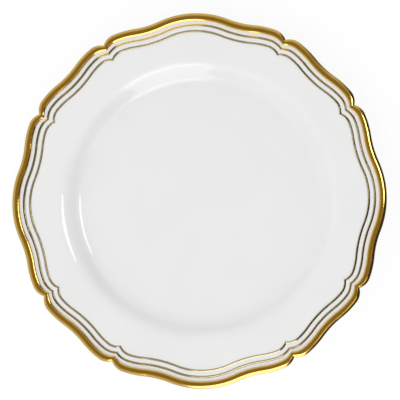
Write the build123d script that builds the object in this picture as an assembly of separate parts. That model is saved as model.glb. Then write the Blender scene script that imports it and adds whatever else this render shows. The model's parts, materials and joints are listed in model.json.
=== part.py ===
from build123d import *
import cmath
import math
import os

# Dinner plate in glazed porcelain with a scalloped edge, a rolled gold rim and two raised gold lines.
# Millimetres, +Z up. The origin is the centre of the face that the foot ring stands on.
os.makedirs("parts", exist_ok=True)

# ---- driving dimensions -------------------------------------------------------------------------
EDGE_RADIUS = 133.5  # centre to the crest of a lobe, at the very edge
LOBES = 12  # equal scallops round the edge
PLAIN_EVERY = 3  # every third lobe is plainly round, the others carry a notch at their crest

# The shape of a scallop changes slowly from the edge to the inner gold line. Each row holds the
# inset from the edge, how far the valley lies inside the crest, the radius of the lobe's arc, the
# depth of the notch and the radius of the notch's two shoulders.
SCALLOP_AT = (
    (0.0, 3.64, 63.5, 3.64, 11.7),
    (8.3, 3.88, 52.4, 2.2, 16.0),
    (12.7, 3.88, 47.3, 3.0, 10.7),
)

FLOOR_Z = 5.4  # top of the flat floor of the well
FLOOR_RADIUS = 81.7  # where the floor starts to curve up
FLOOR_FILLET = 12.4
WALL_SLOPE = 45.0  # degrees
WALL_RUN = 2.7  # width of the straight part of the well's wall
SHOULDER_FILLET = 16.0
RIM_SLOPE = 9.0  # degrees

# the rolled lip is oval in section, a little wider outside its crest than inside it
LIP_OUTER_WIDTH = 3.3
LIP_INNER_WIDTH = 2.5
LIP_HALF_HEIGHT = 2.1
LIP_Z = 20.5  # height of the lip's widest point
LIP_LOW_ANGLE = -60.0  # how far the gold goes round under the lip
LIP_CREST_ANGLE = 90.0
LIP_HIGH_ANGLE = 140.0  # where the roll turns into its inner foot
LIP_OUTER_STEPS = 5
LIP_INNER_STEPS = 2
LIP_FOOT_INSET = 5.3  # the roll meets the plain border here

# a raised line is a ridge with a rounded crest, longer on its outer side
LINE_INSETS = {"gold_line_middle": 8.6, "gold_line_inner": 12.85}
LINE_HEIGHT = 0.7
LINE_CREST_RADIUS = 0.45
LINE_OUTER_SLOPE = 38.0  # degrees from the border
LINE_INNER_SLOPE = 60.0
LINE_STEPS = 4

WALL_THICKNESS = 3.0  # of the fired plate, glaze included
GLAZE = 0.25
GOLD = 0.15

FOOT_INNER_RADIUS = 79.8  # of the bare clay ring, which carries no glaze underneath
FOOT_OUTER_RADIUS = 82.4
FOOT_BEVEL = 0.5
FOOT_ROOT_INNER = 78.4  # where the ring's inner side meets the recess
FOOT_ROOT_ANGLE = 10.0  # degrees round the underside's fillet, where its outer side meets it

STAMP_RADIUS = 9.0
STAMP_LINE = 0.6
STAMP_PETAL = 2.2
STAMP_PETALS = 6
STAMP_PETAL_RING = 4.6
STAMP_INK = 0.08

# ---- values that follow from them ---------------------------------------------------------------
wall_angle = math.radians(WALL_SLOPE)
rim_angle = math.radians(RIM_SLOPE)
root_angle = math.radians(FOOT_ROOT_ANGLE)
half_pitch = math.pi / LOBES

# centres of the well's two fillets, in section
fillet_centre = Vector(FLOOR_RADIUS, 0, FLOOR_Z + FLOOR_FILLET)
wall_end = FLOOR_RADIUS + FLOOR_FILLET * math.sin(wall_angle) + WALL_RUN
wall_end_z = (
    FLOOR_Z + FLOOR_FILLET * (1 - math.cos(wall_angle)) + WALL_RUN * math.tan(wall_angle)
)
shoulder_centre = Vector(
    wall_end + SHOULDER_FILLET * math.sin(wall_angle),
    0,
    wall_end_z - SHOULDER_FILLET * math.cos(wall_angle),
)
# outside this radius the plate is scalloped, inside it everything is round
shoulder_end = shoulder_centre.X - SHOULDER_FILLET * math.sin(rim_angle)


def line_reach(slope):
    """How far a line's foot lies from its crest, on the side that has this slope."""
    drop = LINE_HEIGHT - LINE_CREST_RADIUS * (1 - math.cos(slope))
    return LINE_CREST_RADIUS * math.sin(slope) + drop / math.tan(slope)


outer_slope = math.radians(LINE_OUTER_SLOPE)
inner_slope = math.radians(LINE_INNER_SLOPE)
line_feet = []
for inset in LINE_INSETS.values():
    line_feet += [inset - line_reach(outer_slope), inset + line_reach(inner_slope)]
border_inset = line_feet[-1]


# ---- the scalloped outline ----------------------------------------------------------------------
def scallop(inset):
    """Valley depth, lobe radius, notch depth and shoulder radius of the outline at an inset."""
    for before, after in zip(SCALLOP_AT, SCALLOP_AT[1:]):
        if inset <= after[0]:
            break
    share = min(max((inset - before[0]) / (after[0] - before[0]), 0), 1)
    return [a + (b - a) * share for a, b in zip(before[1:], after[1:])]


def arc(centre, radius, start, end):
    """Start, middle and end of an arc as complex numbers, from its end angles in radians."""
    return [centre + cmath.rect(radius, angle) for angle in (start, (start + end) / 2, end)]


def outline(inset):
    """The arcs of a scalloped outline, in order: 1 for a plain lobe, 4 for a notched one, 1 for a valley."""
    valley_depth, lobe_radius, notch_depth, shoulder_radius = scallop(inset)
    crest = EDGE_RADIUS - inset
    valley = crest - valley_depth
    # the lobe's arc has its centre on the crest's axis, the valley's arc has it outside the plate
    lobe_centre = crest - lobe_radius
    beyond = lobe_radius - valley
    valley_reach = (lobe_centre**2 - beyond**2) / (2 * (beyond + lobe_centre * math.cos(half_pitch)))
    valley_centre = cmath.rect(valley_reach, half_pitch)
    touch = cmath.phase(valley_centre - lobe_centre)
    # a notch's shoulder touches the lobe's arc from inside and ends at the notch's point
    apart = lobe_radius - shoulder_radius
    point = crest - notch_depth
    depth = point - lobe_centre
    along = (apart**2 - shoulder_radius**2 + depth**2) / (2 * depth)
    offset = complex(along, math.sqrt(apart**2 - along**2))
    notch_start = cmath.phase(point - lobe_centre - offset)
    upper = [
        arc(lobe_centre + offset, shoulder_radius, notch_start, cmath.phase(offset)),
        arc(lobe_centre, lobe_radius, cmath.phase(offset), touch),
    ]
    lower = [[p.conjugate() for p in reversed(piece)] for piece in reversed(upper)]
    plain = [arc(lobe_centre, lobe_radius, -touch, touch)]
    into_valley = math.pi + touch
    out_of_valley = math.pi + 2 * half_pitch - touch
    hollow = [arc(valley_centre, valley_reach - valley, into_valley, out_of_valley)]
    pieces = []
    for lobe in range(LOBES):
        turn = cmath.rect(1, 2 * half_pitch * lobe)
        crest_pieces = plain if lobe % PLAIN_EVERY == 0 else lower + upper
        pieces += [[p * turn for p in piece] for piece in crest_pieces + hollow]
    return pieces


def circle(radius):
    """A circle cut into arcs that match the outline's, in the same order."""
    return [[p / abs(p) * radius for p in piece] for piece in outline(border_inset)]


def loop(pieces, height):
    """The edges of an outline or a circle, laid at a height."""
    return [
        Edge.make_three_point_arc(*[Vector(p.real, p.imag, height) for p in piece])
        for piece in pieces
    ]


def ring(section):
    """The closed solid through a section, given as (outline or circle, height) all the way round."""
    loops = [loop(pieces, height) for pieces, height in section]
    faces = []
    for here, following in zip(loops, loops[1:] + loops[:1]):
        faces += [Face.make_surface_from_curves(a, b) for a, b in zip(here, following)]
    return Solid(Shell(faces))


# ---- the section of the scalloped part ----------------------------------------------------------
def shoulder_z(depth):
    """Height of the shoulder's end, this far below the glaze."""
    run = shoulder_centre.X - shoulder_end
    return shoulder_centre.Z + math.sqrt((SHOULDER_FILLET - depth) ** 2 - run**2)


def border_z(inset, depth=0.0):
    """Height of the border at an inset, this far below the glaze: it rises at the rim's slope."""
    run = EDGE_RADIUS - inset - shoulder_end
    return shoulder_z(0) + run * math.tan(rim_angle) - depth / math.cos(rim_angle)


def border(insets, depth):
    """Stations on the border at these insets, this far below the glaze."""
    return [(outline(inset), border_z(inset, depth)) for inset in insets]


def round_end(depth):
    """The station on the circle where the scalloped part begins."""
    return [(circle(shoulder_end), shoulder_z(depth))]


def lip(depth):
    """The roll of the lip from under the edge to its inner foot, this far below the gold."""
    rising = (LIP_CREST_ANGLE - LIP_LOW_ANGLE) / LIP_OUTER_STEPS
    falling = (LIP_HIGH_ANGLE - LIP_CREST_ANGLE) / LIP_INNER_STEPS
    angles = [LIP_LOW_ANGLE + rising * step for step in range(LIP_OUTER_STEPS)]
    angles += [LIP_CREST_ANGLE + falling * step for step in range(LIP_INNER_STEPS + 1)]
    stations = []
    for angle in map(math.radians, angles):
        width = LIP_OUTER_WIDTH if angle < math.pi / 2 else LIP_INNER_WIDTH
        inset = LIP_OUTER_WIDTH - (width - depth) * math.cos(angle)
        stations.append((outline(inset), LIP_Z + (LIP_HALF_HEIGHT - depth) * math.sin(angle)))
    return stations


# ---- the section of the round part --------------------------------------------------------------
def on_fillet(depth, angle):
    """A point of the fillet between floor and wall, this far below the glaze."""
    return fillet_centre + Vector(math.sin(angle), 0, -math.cos(angle)) * (FLOOR_FILLET + depth)


def on_shoulder(depth, angle):
    """A point of the shoulder between wall and rim, this far below the glaze."""
    return shoulder_centre + Vector(-math.sin(angle), 0, math.cos(angle)) * (SHOULDER_FILLET - depth)


def well(depth, start_angle=0.0):
    """Edges from the fillet's start out to the end of the shoulder, this far below the glaze."""
    end_angle = math.asin((shoulder_centre.X - shoulder_end) / (SHOULDER_FILLET - depth))
    fillet_angles = (start_angle, (start_angle + wall_angle) / 2, wall_angle)
    shoulder_angles = (wall_angle, (wall_angle + end_angle) / 2, end_angle)
    return [
        Edge.make_three_point_arc(*[on_fillet(depth, angle) for angle in fillet_angles]),
        Edge.make_line(on_fillet(depth, wall_angle), on_shoulder(depth, wall_angle)),
        Edge.make_three_point_arc(*[on_shoulder(depth, angle) for angle in shoulder_angles]),
    ]


def lines(*points):
    """Straight edges through these points of the section."""
    return [Edge.make_line(a, b) for a, b in zip(points, points[1:])]


def turned(*edges):
    """The solid of revolution of a section."""
    return Solid.revolve(Face(Wire(edges)), 360, Axis.Z)


def spot(radius, z):
    """A point of the section."""
    return Vector(radius, 0, z)


def end_of(edges):
    """The outer end of a run of edges."""
    return edges[-1] @ 1


recess_z = FLOOR_Z - WALL_THICKNESS
underside = WALL_THICKNESS - GLAZE


# ---- the pieces ---------------------------------------------------------------------------------
def make_body():
    """The fired clay: floor, well, rim, the core of the lip, and the bare foot ring."""
    above = well(GLAZE)
    below = well(underside, root_angle)
    outside = lines(
        on_fillet(underside, root_angle),
        spot(FOOT_OUTER_RADIUS, FOOT_BEVEL),
        spot(FOOT_OUTER_RADIUS - FOOT_BEVEL, 0),
        spot(FOOT_INNER_RADIUS + FOOT_BEVEL, 0),
        spot(FOOT_INNER_RADIUS, FOOT_BEVEL),
        spot(FOOT_ROOT_INNER, recess_z + GLAZE),
        spot(0, recess_z + GLAZE),
        spot(0, FLOOR_Z - GLAZE),
        spot(FLOOR_RADIUS, FLOOR_Z - GLAZE),
    )
    rim_end = lines(end_of(above), end_of(below))
    middle = turned(*above, *rim_end, *below, *outside)
    rim = ring(
        round_end(GLAZE)
        + border([border_inset, LIP_FOOT_INSET], GLAZE)
        + lip(GOLD + GLAZE)[::-1]
        + border([LIP_FOOT_INSET, border_inset], underside)
        + round_end(underside)
    )
    return middle.fuse(rim)


def make_glaze():
    """The glaze over the face, round the lip and back along the underside to the foot ring."""
    inner, outer = well(GLAZE), well(0)
    face_start = lines(spot(FLOOR_RADIUS, FLOOR_Z - GLAZE), spot(0, FLOOR_Z - GLAZE))
    face_start += lines(spot(0, FLOOR_Z - GLAZE), spot(0, FLOOR_Z), spot(FLOOR_RADIUS, FLOOR_Z))
    face = turned(*inner, *lines(end_of(inner), end_of(outer)), *outer, *face_start)
    inner, outer = well(underside, root_angle), well(WALL_THICKNESS, root_angle)
    foot_side = lines(
        on_fillet(underside, root_angle),
        spot(FOOT_OUTER_RADIUS, FOOT_BEVEL),
        spot(FOOT_OUTER_RADIUS + GLAZE, FOOT_BEVEL),
        on_fillet(WALL_THICKNESS, root_angle),
    )
    back = turned(*inner, *lines(end_of(inner), end_of(outer)), *outer, *foot_side)
    skin = ring(
        round_end(0)
        + border([*line_feet[::-1], LIP_FOOT_INSET], 0)
        + lip(GOLD)[::-1]
        + border([LIP_FOOT_INSET, border_inset], WALL_THICKNESS)
        + round_end(WALL_THICKNESS)
        + round_end(underside)
        + border([border_inset, LIP_FOOT_INSET], underside)
        + lip(GOLD + GLAZE)
        + border([LIP_FOOT_INSET, border_inset], GLAZE)
        + round_end(GLAZE)
    )
    return face.fuse(skin).fuse(back)


def make_recess_glaze():
    """The glaze on the underside inside the foot ring."""
    return turned(
        *lines(
            spot(0, recess_z),
            spot(FOOT_ROOT_INNER - GLAZE, recess_z),
            spot(FOOT_INNER_RADIUS - GLAZE, FOOT_BEVEL),
            spot(FOOT_INNER_RADIUS, FOOT_BEVEL),
            spot(FOOT_ROOT_INNER, recess_z + GLAZE),
            spot(0, recess_z + GLAZE),
            spot(0, recess_z),
        )
    )


def make_rim_band():
    """The gold over the lip, from its inner foot round to below the edge."""
    foot = border([LIP_FOOT_INSET], 0)
    raised_foot = border([LIP_FOOT_INSET], -GOLD)
    return ring(lip(0) + raised_foot + foot + lip(GOLD)[::-1])


def make_line(inset):
    """A raised gold line on the glazed border, from its outer foot over its crest to its inner foot."""
    outer_foot = inset - line_reach(outer_slope)
    inner_foot = inset + line_reach(inner_slope)
    section = [(outline(outer_foot), border_z(outer_foot))]
    for step in range(LINE_STEPS + 1):
        angle = -outer_slope + (outer_slope + inner_slope) * step / LINE_STEPS
        at = inset + LINE_CREST_RADIUS * math.sin(angle)
        rise = LINE_HEIGHT - LINE_CREST_RADIUS * (1 - math.cos(angle))
        section.append((outline(at), border_z(at) + rise))
    section.append((outline(inner_foot), border_z(inner_foot)))
    return ring(section)


def make_backstamp():
    """A plain mark under the floor: a circle round a rosette, as thick as its ink."""
    plane = Plane.XY.offset(recess_z - STAMP_INK)
    with BuildPart() as mark:
        with BuildSketch(plane):
            Circle(STAMP_RADIUS)
            Circle(STAMP_RADIUS - STAMP_LINE, mode=Mode.SUBTRACT)
            with PolarLocations(STAMP_PETAL_RING, STAMP_PETALS):
                Ellipse(STAMP_PETAL, STAMP_PETAL / 2)
        extrude(amount=STAMP_INK)
    return mark.part


pieces = {
    "porcelain_body": make_body(),
    "glaze_coat": make_glaze(),
    "glaze_recess": make_recess_glaze(),
    "gold_rim_band": make_rim_band(),
    "backstamp": make_backstamp(),
}
for name, inset in LINE_INSETS.items():
    pieces[name] = make_line(inset)
for name, shape in pieces.items():
    export_step(shape, f"parts/{name}.step")
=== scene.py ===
import bmesh
import bpy
import cmath
import json
import math

from mathutils import Matrix, Vector


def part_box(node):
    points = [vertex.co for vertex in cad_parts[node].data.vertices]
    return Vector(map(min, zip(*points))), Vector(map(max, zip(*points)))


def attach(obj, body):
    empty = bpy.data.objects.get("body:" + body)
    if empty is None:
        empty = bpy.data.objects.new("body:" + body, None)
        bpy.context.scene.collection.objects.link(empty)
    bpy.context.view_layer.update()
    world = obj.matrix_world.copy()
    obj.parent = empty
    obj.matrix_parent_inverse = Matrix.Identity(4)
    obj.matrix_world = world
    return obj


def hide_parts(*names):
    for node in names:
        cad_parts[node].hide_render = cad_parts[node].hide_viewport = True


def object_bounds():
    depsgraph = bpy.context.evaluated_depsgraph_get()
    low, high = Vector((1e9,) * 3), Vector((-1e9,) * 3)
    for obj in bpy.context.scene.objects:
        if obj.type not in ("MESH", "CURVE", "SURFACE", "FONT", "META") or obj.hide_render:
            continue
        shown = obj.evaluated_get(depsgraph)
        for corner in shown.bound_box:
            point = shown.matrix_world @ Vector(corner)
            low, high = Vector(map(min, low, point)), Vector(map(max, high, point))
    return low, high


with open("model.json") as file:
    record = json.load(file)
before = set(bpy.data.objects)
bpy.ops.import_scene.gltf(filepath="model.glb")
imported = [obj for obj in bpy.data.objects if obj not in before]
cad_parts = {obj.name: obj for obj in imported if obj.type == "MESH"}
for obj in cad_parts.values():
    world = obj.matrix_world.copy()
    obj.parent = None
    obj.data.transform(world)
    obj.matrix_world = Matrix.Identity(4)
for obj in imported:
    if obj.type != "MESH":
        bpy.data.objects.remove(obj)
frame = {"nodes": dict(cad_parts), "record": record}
cad_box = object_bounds()

MM = 0.001  # the plate's own sizes are in millimetres; the camera and the studio are in metres

# ---- sizes read from the frame, in millimetres ----------------------------------------------------
band_low, band_high = (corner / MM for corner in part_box("gold_rim_band"))
glaze_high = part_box("glaze_coat")[1] / MM
body_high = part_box("porcelain_body")[1] / MM
recess_low, recess_high = (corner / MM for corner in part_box("glaze_recess"))
mounts = {mount["name"]: Vector(mount["pos_m"]) / MM for mount in frame["record"]["mounts"]}

EDGE_RADIUS = band_high.x
GOLD = band_high.x - glaze_high.x
GLAZE = glaze_high.x - body_high.x
FLOOR_Z = mounts["well_floor"].z
FOOT_BEVEL = recess_low.z
FOOT_INNER_RADIUS = recess_high.x
FOOT_OUTER_RADIUS = 2 * mounts["foot"].x - FOOT_INNER_RADIUS
RECESS_Z = recess_high.z - GLAZE
WALL = FLOOR_Z - RECESS_Z

# ---- sizes the frame's boxes don't hold, in millimetres and degrees -------------------------------
LOBES = 12
PLAIN_EVERY = 3
# inset from the edge, valley depth, lobe radius, notch depth, radius of the notch's shoulders
SCALLOP_AT = (
    (0.0, 3.64, 63.5, 3.64, 11.7),
    (8.3, 3.88, 52.4, 2.2, 16.0),
    (12.7, 3.88, 47.3, 3.0, 10.7),
)
FLOOR_RADIUS = 81.7
FLOOR_FILLET = 12.4
WALL_SLOPE = math.radians(45)
WALL_RUN = 2.7
SHOULDER_FILLET = 16.0
RIM_SLOPE = math.radians(9)
LIP_OUTER_WIDTH = 3.3
LIP_INNER_WIDTH = 2.5
LIP_FOOT_INSET = 5.3
LIP_LOW_ANGLE = math.radians(-60)
LIP_HIGH_ANGLE = math.radians(140)
LINE_HEIGHT = 0.7
LINE_CREST_RADIUS = 0.45
LINE_OUTER_SLOPE = math.radians(38)
LINE_INNER_SLOPE = math.radians(60)
FOOT_ROOT_INNER = 78.4
FOOT_ROOT_ANGLE = math.radians(10)
NOTCH_FADE = 6  # how fast a notch dies out over the rim

LIP_HALF_HEIGHT = (band_high.z - band_low.z) / (1 - math.sin(LIP_LOW_ANGLE))
LIP_Z = band_high.z - LIP_HALF_HEIGHT


def line_reach(slope):
    """How far a raised line's foot lies from its crest, on the side that has this slope."""
    drop = LINE_HEIGHT - LINE_CREST_RADIUS * (1 - math.cos(slope))
    return LINE_CREST_RADIUS * math.sin(slope) + drop / math.tan(slope)


line_insets = {
    name: EDGE_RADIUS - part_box(name)[1].x / MM + line_reach(LINE_OUTER_SLOPE)
    for name in ("gold_line_middle", "gold_line_inner")
}
border_inset = max(line_insets.values()) + line_reach(LINE_INNER_SLOPE)

# the well's two fillets, in section: (radius from the axis, height)
fillet_centre = complex(FLOOR_RADIUS, FLOOR_Z + FLOOR_FILLET)
wall_foot = fillet_centre + FLOOR_FILLET * complex(math.sin(WALL_SLOPE), -math.cos(WALL_SLOPE))
wall_head = wall_foot + WALL_RUN * complex(1, math.tan(WALL_SLOPE))
shoulder_centre = wall_head + SHOULDER_FILLET * complex(math.sin(WALL_SLOPE), -math.cos(WALL_SLOPE))
shoulder_end = shoulder_centre.real - SHOULDER_FILLET * math.sin(RIM_SLOPE)

# ---- how finely each arc of the outline is cut ----------------------------------------------------
LOBE_CUTS = 26
SHOULDER_CUTS = 9
LOBE_REST_CUTS = 8
VALLEY_CUTS = 10
FILLET_CUTS = 14
LIP_CUTS = 20
CREST_CUTS = 8
BORDER_CUTS = 12  # of the glaze's face between the rim and the lip
HIDDEN_BORDER_CUTS = 4  # between the glaze and the clay
UNDER_CUTS = 2
# from the border, 0, to the shoulder, 1
RIM_SHARES = (0.86, 0.72, 0.58, 0.45, 0.33, 0.22, 0.14, 0.08, 0.04, 0.015)
FLOOR_RADII = (6.0, 20.0, 40.0, 58.0, 70.0, 77.0)
SHARP = math.radians(38)  # faces that meet at more than this keep a hard edge


# ---- camera ---------------------------------------------------------------------------------------
CAMERA_DISTANCE = 2.2
CAMERA_TILT = math.radians(4.5)  # away from straight above
CAMERA_SIDE = math.radians(352)  # where it leans to, from +X
CAMERA_ROLL = math.radians(1.6)
FIELD_WIDTH = 0.2839  # metres across the picture, in the plane of the lip
SENSOR = 36.0
AIM_OFF = (0.0011, 0.0006)  # how far right of and above the plate's middle the camera aims


def make_camera():
    """A long lens nearly straight above the plate."""
    lean = cmath.rect(math.sin(CAMERA_TILT), CAMERA_SIDE)
    back = Vector((lean.real, lean.imag, math.cos(CAMERA_TILT)))
    level = Vector((math.cos(CAMERA_ROLL), -math.sin(CAMERA_ROLL), 0))
    right = (level - back * level.dot(back)).normalized()
    up = back.cross(right)
    middle = Vector((0, 0, cad_box[1].z))
    aim = middle + right * AIM_OFF[0] + up * AIM_OFF[1]
    data = bpy.data.cameras.new("camera")
    data.sensor_width = SENSOR
    data.lens = SENSOR * CAMERA_DISTANCE / FIELD_WIDTH
    data.clip_start = 0.1
    data.clip_end = 20
    camera = bpy.data.objects.new("camera", data)
    axes = Matrix((right, up, back)).transposed().to_4x4()
    camera.matrix_world = Matrix.Translation(aim + back * CAMERA_DISTANCE) @ axes
    bpy.context.scene.collection.objects.link(camera)
    bpy.context.scene.camera = camera


# ---- the scalloped outline ------------------------------------------------------------------------
def scallop(inset):
    """Valley depth, lobe radius, notch depth and shoulder radius of the outline at an inset."""
    for before, after in zip(SCALLOP_AT, SCALLOP_AT[1:]):
        if inset <= after[0]:
            break
    share = min(max((inset - before[0]) / (after[0] - before[0]), 0), 1)
    return [a + (b - a) * share for a, b in zip(before[1:], after[1:])]


def arc(centre, radius, start, end, cuts):
    """Points along an arc as complex numbers, without its last one."""
    return [centre + cmath.rect(radius, start + (end - start) * n / cuts) for n in range(cuts)]


def outline(inset):
    """The closed scalloped outline at an inset from the edge, as complex numbers."""
    valley_depth, lobe_radius, notch_depth, shoulder_radius = scallop(inset)
    half_pitch = math.pi / LOBES
    crest = EDGE_RADIUS - inset
    valley = crest - valley_depth
    lobe_centre = crest - lobe_radius
    beyond = lobe_radius - valley
    valley_reach = (lobe_centre**2 - beyond**2) / (2 * (beyond + lobe_centre * math.cos(half_pitch)))
    valley_centre = cmath.rect(valley_reach, half_pitch)
    touch = cmath.phase(valley_centre - lobe_centre)
    apart = lobe_radius - shoulder_radius
    depth = crest - notch_depth - lobe_centre
    along = (apart**2 - shoulder_radius**2 + depth**2) / (2 * depth)
    offset = complex(along, math.sqrt(apart**2 - along**2))
    turn_in = cmath.phase(offset)
    notch = cmath.phase(depth - offset)
    low_centre, high_centre = lobe_centre + offset.conjugate(), lobe_centre + offset
    notched = (
        arc(lobe_centre, lobe_radius, -touch, -turn_in, LOBE_REST_CUTS)
        + arc(low_centre, shoulder_radius, -turn_in, -notch, SHOULDER_CUTS)
        + arc(high_centre, shoulder_radius, notch, turn_in, SHOULDER_CUTS)
        + arc(lobe_centre, lobe_radius, turn_in, touch, LOBE_REST_CUTS)
    )
    plain = arc(lobe_centre, lobe_radius, -touch, touch, LOBE_CUTS)
    out_of_valley = math.pi + 2 * half_pitch - touch
    hollow = arc(valley_centre, valley_reach - valley, math.pi + touch, out_of_valley, VALLEY_CUTS)
    points = []
    for lobe in range(LOBES):
        turn = cmath.rect(1, 2 * half_pitch * lobe)
        crest_points = plain if lobe % PLAIN_EVERY == 0 else notched
        points += [p * turn for p in crest_points + hollow]
    return points


def unnotched_radius(point):
    """How far out the border's inner outline would be towards a point, had it no notches."""
    valley_depth, lobe_radius, _, _ = scallop(border_inset)
    half_pitch = math.pi / LOBES
    off_crest = (cmath.phase(point) + half_pitch) % (2 * half_pitch) - half_pitch
    crest = EDGE_RADIUS - border_inset
    lobe_centre = crest - lobe_radius
    on_lobe = lobe_centre * math.cos(off_crest) + math.sqrt(
        lobe_radius**2 - (lobe_centre * math.sin(off_crest)) ** 2
    )
    return max(on_lobe, abs(point))


# ---- rings of the section -------------------------------------------------------------------------
def steps(start, end, cuts):
    """Even steps from start to end, with both ends."""
    return [start + (end - start) * n / cuts for n in range(cuts + 1)]


border_outline = outline(border_inset)
directions = [p / abs(p) for p in border_outline]


def shoulder_z(depth):
    """Height of the shoulder's end, this far below the glaze."""
    run = shoulder_centre.real - shoulder_end
    return shoulder_centre.imag + math.sqrt((SHOULDER_FILLET - depth) ** 2 - run**2)


def border_z(inset, depth=0.0):
    """Height of the border at an inset, this far below the glaze."""
    run = EDGE_RADIUS - inset - shoulder_end
    return shoulder_z(0) + run * math.tan(RIM_SLOPE) - depth / math.cos(RIM_SLOPE)


def scalloped(inset, z):
    return [Vector((p.real, p.imag, z)) for p in outline(inset)]


def rounded(radius, z):
    return [Vector((d.real * radius, d.imag * radius, z)) for d in directions]


def pole(z):
    return [Vector((0, 0, z))]


def rim(share, depth):
    """A ring of the plain rim: share 0 at the border, 1 at the shoulder. A notch dies out quickly."""
    drop = depth / math.cos(RIM_SLOPE)
    slope = math.tan(RIM_SLOPE)
    at_border = border_z(border_inset, depth)
    ring = []
    for p, direction in zip(border_outline, directions):
        q = p + (direction * shoulder_end - p) * share
        cone = shoulder_z(0) - drop + (abs(q) - shoulder_end) * slope
        wave = at_border - (shoulder_z(0) - drop + (unnotched_radius(p) - shoulder_end) * slope)
        notch = (unnotched_radius(p) - abs(p)) * slope
        z = cone + wave * (1 - share) + notch * (1 - share) ** NOTCH_FADE
        ring.append(Vector((q.real, q.imag, z)))
    return ring


def lip(depth):
    """The roll of the lip from under the edge to its inner foot, this far below the gold."""
    rings = []
    for angle in steps(LIP_LOW_ANGLE, LIP_HIGH_ANGLE, LIP_CUTS):
        width = LIP_OUTER_WIDTH if angle < math.pi / 2 else LIP_INNER_WIDTH
        inset = LIP_OUTER_WIDTH - (width - depth) * math.cos(angle)
        rings.append(scalloped(inset, LIP_Z + (LIP_HALF_HEIGHT - depth) * math.sin(angle)))
    return rings


def well(depth, start=0.0):
    """The fillet, the wall and the shoulder, this far below the glaze."""
    end = math.asin((shoulder_centre.real - shoulder_end) / (SHOULDER_FILLET - depth))
    rings = []
    for angle in steps(start, WALL_SLOPE, FILLET_CUTS):
        p = fillet_centre + (FLOOR_FILLET + depth) * complex(math.sin(angle), -math.cos(angle))
        rings.append(rounded(p.real, p.imag))
    for angle in steps(WALL_SLOPE, end, FILLET_CUTS):
        p = shoulder_centre + (SHOULDER_FILLET - depth) * complex(-math.sin(angle), math.cos(angle))
        rings.append(rounded(p.real, p.imag))
    return rings


def rim_rings(depth, shares):
    return [rim(share, depth) for share in shares]


def floor_rings(z, radii):
    return [pole(z)] + [rounded(radius, z) for radius in radii]


def border_rings(depth, insets):
    return [scalloped(inset, border_z(inset, depth)) for inset in insets]


# ---- meshes ---------------------------------------------------------------------------------------

def solid(name, rings, closed):
    """A closed mesh through rings of points. An open run of rings begins and ends at a pole."""
    mesh = bpy.data.meshes.new(name)
    made = bmesh.new()
    loops = [[made.verts.new(point * MM) for point in ring] for ring in rings]
    pairs = list(zip(loops, loops[1:]))
    if closed:
        pairs.append((loops[-1], loops[0]))
    for here, there in pairs:
        count = max(len(here), len(there))
        for n in range(count):
            m = (n + 1) % count
            corners = [here[n % len(here)], here[m % len(here)]]
            corners += [there[m % len(there)], there[n % len(there)]]
            distinct = [v for i, v in enumerate(corners) if v not in corners[:i]]
            made.faces.new(distinct)
    bmesh.ops.recalc_face_normals(made, faces=made.faces)
    made.to_mesh(mesh)
    made.free()
    mesh.shade_smooth()
    mesh.set_sharp_from_angle(angle=SHARP)
    piece = bpy.data.objects.new(name, mesh)
    bpy.context.scene.collection.objects.link(piece)
    return piece


def give(piece, node, material):
    """Puts a piece in a CAD node's place."""
    piece.data.materials.append(material)
    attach(piece, "root")
    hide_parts(node)


def make_body(material):
    under = WALL - GLAZE
    rings = floor_rings(FLOOR_Z - GLAZE, FLOOR_RADII) + well(GLAZE)
    rings += rim_rings(GLAZE, RIM_SHARES)
    rings += border_rings(GLAZE, steps(border_inset, LIP_FOOT_INSET, HIDDEN_BORDER_CUTS))
    rings += lip(GOLD + GLAZE)[::-1]
    rings += border_rings(under, steps(LIP_FOOT_INSET, border_inset, UNDER_CUTS))
    rings += rim_rings(under, RIM_SHARES[::-1])
    rings += well(under, FOOT_ROOT_ANGLE)[::-1]
    rings += [
        rounded(FOOT_OUTER_RADIUS, FOOT_BEVEL),
        rounded(FOOT_OUTER_RADIUS - FOOT_BEVEL, 0),
        rounded(FOOT_INNER_RADIUS + FOOT_BEVEL, 0),
        rounded(FOOT_INNER_RADIUS, FOOT_BEVEL),
        rounded(FOOT_ROOT_INNER, RECESS_Z + GLAZE),
    ]
    rings += floor_rings(RECESS_Z + GLAZE, FLOOR_RADII)[::-1]
    give(solid("clay_body", rings, False), "porcelain_body", material)


def make_glaze(material):
    under = WALL - GLAZE
    insets = steps(border_inset, LIP_FOOT_INSET, BORDER_CUTS)
    rings = floor_rings(FLOOR_Z, FLOOR_RADII) + well(0) + rim_rings(0, RIM_SHARES)
    rings += border_rings(0, insets)
    rings += lip(GOLD)[::-1]
    rings += border_rings(WALL, steps(LIP_FOOT_INSET, border_inset, UNDER_CUTS))
    rings += rim_rings(WALL, RIM_SHARES[::-1])
    rings += well(WALL, FOOT_ROOT_ANGLE)[::-1]
    rings += [rounded(FOOT_OUTER_RADIUS + GLAZE, FOOT_BEVEL), rounded(FOOT_OUTER_RADIUS, FOOT_BEVEL)]
    rings += well(under, FOOT_ROOT_ANGLE) + rim_rings(under, RIM_SHARES)
    rings += border_rings(under, steps(border_inset, LIP_FOOT_INSET, UNDER_CUTS))
    rings += lip(GOLD + GLAZE)
    rings += border_rings(GLAZE, steps(LIP_FOOT_INSET, border_inset, HIDDEN_BORDER_CUTS))
    rings += rim_rings(GLAZE, RIM_SHARES[::-1]) + well(GLAZE)[::-1]
    rings += floor_rings(FLOOR_Z - GLAZE, FLOOR_RADII)[::-1]
    give(solid("glaze", rings, False), "glaze_coat", material)


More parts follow.
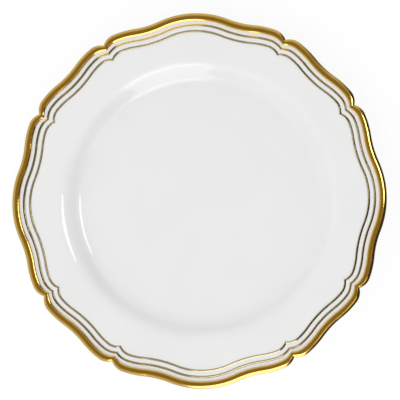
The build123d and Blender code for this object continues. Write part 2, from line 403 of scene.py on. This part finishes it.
def make_recess(material):
    rings = floor_rings(RECESS_Z, FLOOR_RADII)
    rings += [
        rounded(FOOT_ROOT_INNER - GLAZE, RECESS_Z),
        rounded(FOOT_INNER_RADIUS - GLAZE, FOOT_BEVEL),
        rounded(FOOT_INNER_RADIUS, FOOT_BEVEL),
        rounded(FOOT_ROOT_INNER, RECESS_Z + GLAZE),
    ]
    rings += floor_rings(RECESS_Z + GLAZE, FLOOR_RADII)[::-1]
    give(solid("recess_glaze", rings, False), "glaze_recess", material)


def make_band(material):
    rings = lip(0) + border_rings(-GOLD, [LIP_FOOT_INSET])
    rings += border_rings(0, [LIP_FOOT_INSET]) + lip(GOLD)[::-1]
    give(solid("rim_gold", rings, True), "gold_rim_band", material)


def make_line(name, inset, material):
    outer_foot = inset - line_reach(LINE_OUTER_SLOPE)
    inner_foot = inset + line_reach(LINE_INNER_SLOPE)
    rings = [scalloped(outer_foot, border_z(outer_foot))]
    for angle in steps(-LINE_OUTER_SLOPE, LINE_INNER_SLOPE, CREST_CUTS):
        at = inset + LINE_CREST_RADIUS * math.sin(angle)
        rise = LINE_HEIGHT - LINE_CREST_RADIUS * (1 - math.cos(angle))
        rings.append(scalloped(at, border_z(at) + rise))
    rings.append(scalloped(inner_foot, border_z(inner_foot)))
    give(solid(name + "_bead", rings, True), name, material)


# ---- materials ------------------------------------------------------------------------------------
NOISE_LOW, NOISE_HIGH = 0.3, 0.7  # where most of a noise's values lie


def new_material(name):
    material = bpy.data.materials.new(name)
    material.use_nodes = True
    return material, material.node_tree, material.node_tree.nodes["Principled BSDF"]


def noise(tree, scale, detail=2.0):
    """Noise in the object's own coordinates; scale is in cells a metre."""
    place = tree.nodes.new("ShaderNodeTexCoord")
    texture = tree.nodes.new("ShaderNodeTexNoise")
    texture.inputs["Scale"].default_value = scale
    texture.inputs["Detail"].default_value = detail
    tree.links.new(place.outputs["Object"], texture.inputs["Vector"])
    return texture.outputs["Fac"]


def spread(tree, factor, low, high):
    """Maps a noise's usual range to low and high."""
    ranged = tree.nodes.new("ShaderNodeMapRange")
    ranged.inputs["From Min"].default_value = NOISE_LOW
    ranged.inputs["From Max"].default_value = NOISE_HIGH
    ranged.inputs["To Min"].default_value = low
    ranged.inputs["To Max"].default_value = high
    tree.links.new(factor, ranged.inputs["Value"])
    return ranged.outputs["Result"]


def colour_mix(tree, factor, low, high):
    """A node that mixes two colours by a factor."""
    mix = tree.nodes.new("ShaderNodeMix")
    mix.data_type = "RGBA"
    mix.inputs["A"].default_value = (*low, 1)
    mix.inputs["B"].default_value = (*high, 1)
    tree.links.new(factor, mix.inputs["Factor"])
    return mix


def tint(tree, factor, low, high):
    """A colour between two, by a factor."""
    return colour_mix(tree, factor, low, high).outputs["Result"]


def bump(tree, height, distance):
    """A normal that height pushes by up to distance, in metres."""
    node = tree.nodes.new("ShaderNodeBump")
    node.inputs["Distance"].default_value = distance
    tree.links.new(height, node.inputs["Height"])
    return node.outputs["Normal"]


def glaze_material():
    material, tree, shader = new_material("porcelain_glaze")
    shader.inputs["IOR"].default_value = 1.52
    colour = tint(tree, spread(tree, noise(tree, 35), 0, 1), (0.862, 0.864, 0.868), (0.878, 0.879, 0.882))
    tree.links.new(colour, shader.inputs["Base Color"])
    tree.links.new(spread(tree, noise(tree, 60), 0.04, 0.07), shader.inputs["Roughness"])
    tree.links.new(bump(tree, noise(tree, 90, 1.0), 0.00001), shader.inputs["Normal"])
    return material


def gold_material(name, low, high):
    """Burnished gold between two tones, under a thin clear coat."""
    material, tree, shader = new_material(name)
    shader.inputs["Metallic"].default_value = 1.0
    shader.inputs["Coat Weight"].default_value = 0.5
    shader.inputs["Coat Roughness"].default_value = 0.03
    colour = tint(tree, spread(tree, noise(tree, 300, 3), 0, 1), low, high)
    tree.links.new(colour, shader.inputs["Base Color"])
    tree.links.new(spread(tree, noise(tree, 700, 4), 0.10, 0.16), shader.inputs["Roughness"])
    tree.links.new(bump(tree, noise(tree, 1200, 3), 0.00001), shader.inputs["Normal"])
    return material


def clay_material():
    material, tree, shader = new_material("bare_clay")
    colour = tint(tree, spread(tree, noise(tree, 900, 4), 0, 1), (0.72, 0.69, 0.63), (0.83, 0.81, 0.76))
    tree.links.new(colour, shader.inputs["Base Color"])
    tree.links.new(spread(tree, noise(tree, 1500, 3), 0.7, 0.9), shader.inputs["Roughness"])
    tree.links.new(bump(tree, noise(tree, 4000, 3), 0.00005), shader.inputs["Normal"])
    return material


def ink_material():
    material, tree, shader = new_material("printed_mark")
    colour = tint(tree, spread(tree, noise(tree, 1500, 3), 0, 1), (0.30, 0.22, 0.08), (0.42, 0.32, 0.14))
    tree.links.new(colour, shader.inputs["Base Color"])
    tree.links.new(spread(tree, noise(tree, 800, 2), 0.2, 0.35), shader.inputs["Roughness"])
    return material


# ---- studio ---------------------------------------------------------------------------------------
FLOOR_SIZE = 12
FLOOR_GREY = 0.2
FLOOR_GLOW = 0.805  # brings the floor to the near white of a lit paper sweep


def towards(azimuth, polar):
    """The direction at an azimuth from +X and an angle from straight up, in degrees."""
    a, p = math.radians(azimuth), math.radians(polar)
    return Vector((math.cos(a) * math.sin(p), math.sin(a) * math.sin(p), math.cos(p)))


def softbox(name, azimuth, polar, distance, width, height, radiance):
    """An oval light that faces the plate."""
    data = bpy.data.lights.new(name, "AREA")
    data.shape = "ELLIPSE"
    data.size = width
    data.size_y = height
    data.energy = radiance * math.pi * width * height
    light = bpy.data.objects.new(name, data)
    back = towards(azimuth, polar)
    right = Vector((0, 0, 1)).cross(back).normalized()
    axes = Matrix((right, back.cross(right), back)).transposed().to_4x4()
    light.matrix_world = Matrix.Translation(back * distance) @ axes
    light.visible_camera = False
    bpy.context.scene.collection.objects.link(light)
    return light


def sky(tree, colour, patches):
    """A colour by direction: an even one with soft patches over it.

    Each patch is (azimuth, polar, inner angle, outer angle, colour at its middle).
    """
    place = tree.nodes.new("ShaderNodeTexCoord")
    shown = None
    for azimuth, polar, inner, outer, middle in patches:
        dot = tree.nodes.new("ShaderNodeVectorMath")
        dot.operation = "DOT_PRODUCT"
        dot.inputs[1].default_value = towards(azimuth, polar)
        tree.links.new(place.outputs["Generated"], dot.inputs[0])
        fade = tree.nodes.new("ShaderNodeMapRange")
        fade.interpolation_type = "SMOOTHSTEP"
        fade.inputs["From Min"].default_value = math.cos(math.radians(outer))
        fade.inputs["From Max"].default_value = math.cos(math.radians(inner))
        tree.links.new(dot.outputs["Value"], fade.inputs["Value"])
        patch = colour_mix(tree, fade.outputs["Result"], colour, middle)
        if shown:
            tree.links.new(shown, patch.inputs["A"])
        shown = patch.outputs["Result"]
    return shown


def make_world(dome, room):
    """The dome lights the scene, the room is what reflections show: each is a colour and its patches."""
    world = bpy.data.worlds.new("room")
    world.use_nodes = True
    tree = world.node_tree
    rays = tree.nodes.new("ShaderNodeLightPath")
    chosen = colour_mix(tree, rays.outputs["Is Glossy Ray"], (1, 1, 1), (1, 1, 1))
    tree.links.new(sky(tree, *dome), chosen.inputs["A"])
    tree.links.new(sky(tree, *room), chosen.inputs["B"])
    background = tree.nodes["Background"]
    background.inputs["Strength"].default_value = 1.0
    tree.links.new(chosen.outputs["Result"], background.inputs["Color"])
    bpy.context.scene.world = world


def make_floor():
    bpy.ops.mesh.primitive_plane_add(size=FLOOR_SIZE, location=(0, 0, cad_box[0].z))
    floor = bpy.context.object
    floor.name = "floor"
    material, tree, shader = new_material("white_floor")
    shader.inputs["Roughness"].default_value = 1.0
    shader.inputs["Specular IOR Level"].default_value = 0.0
    shader.inputs["Base Color"].default_value = (FLOOR_GREY, FLOOR_GREY, FLOOR_GREY, 1)
    shader.inputs["Emission Color"].default_value = (1, 1, 1, 1)
    shader.inputs["Emission Strength"].default_value = FLOOR_GLOW
    floor.data.materials.append(material)
    floor.visible_glossy = False


def make_studio():
    # each patch: azimuth, polar angle, inner and outer angle, colour at its middle
    zenith = (0, 0, 0, 90, (0.595, 0.595, 0.595))
    right_wall = (354, 85, 45, 68, (0.035, 0.03, 0.025))
    overhead = (172, 5, 5, 60, (0.235, 0.17, 0.04))
    dome = (0.99, 0.99, 0.99), [zenith]
    room = (0.6, 0.6, 0.6), [overhead, right_wall]
    make_world(dome, room)
    # what reflections show: name, azimuth, polar angle, distance, width, height, radiance
    cards = [
        softbox("right_box", 12.5, 36, 1.2, 0.42, 0.31, 4.8),
        softbox("front_strip", 283, 47, 1.2, 0.78, 0.18, 1.9),
        softbox("front_strip_end", 322, 40, 1.2, 0.36, 0.18, 1.0),
        softbox("front_panel", 277, 69, 1.4, 0.97, 2.26, 1.1),
    ]
    for card in cards:
        card.visible_diffuse = False
    # lights the plate and shows in no reflection
    fill = softbox("overhead_fill", 236, 20, 1.3, 1.52, 1.52, 0.9)
    fill.visible_glossy = False
    make_floor()


# ---- build ----------------------------------------------------------------------------------------
bpy.context.scene.view_settings.view_transform = "Standard"
make_camera()
glaze = glaze_material()
band_gold = gold_material("band_gold", (0.88, 0.58, 0.13), (0.95, 0.64, 0.17))
# the raised lines get a darker, duller copy of the band's gold: painted shade standing in for the dark
# reflections that make the thin lines look darker
painted_shade_line_gold = gold_material("painted_shade_line_gold", (0.50, 0.43, 0.26), (0.60, 0.52, 0.32))
make_body(clay_material())
make_glaze(glaze)
make_recess(glaze)
make_band(band_gold)
for name, inset in line_insets.items():
    make_line(name, inset, painted_shade_line_gold)
frame["nodes"]["backstamp"].data.materials.clear()
frame["nodes"]["backstamp"].data.materials.append(ink_material())
make_studio()
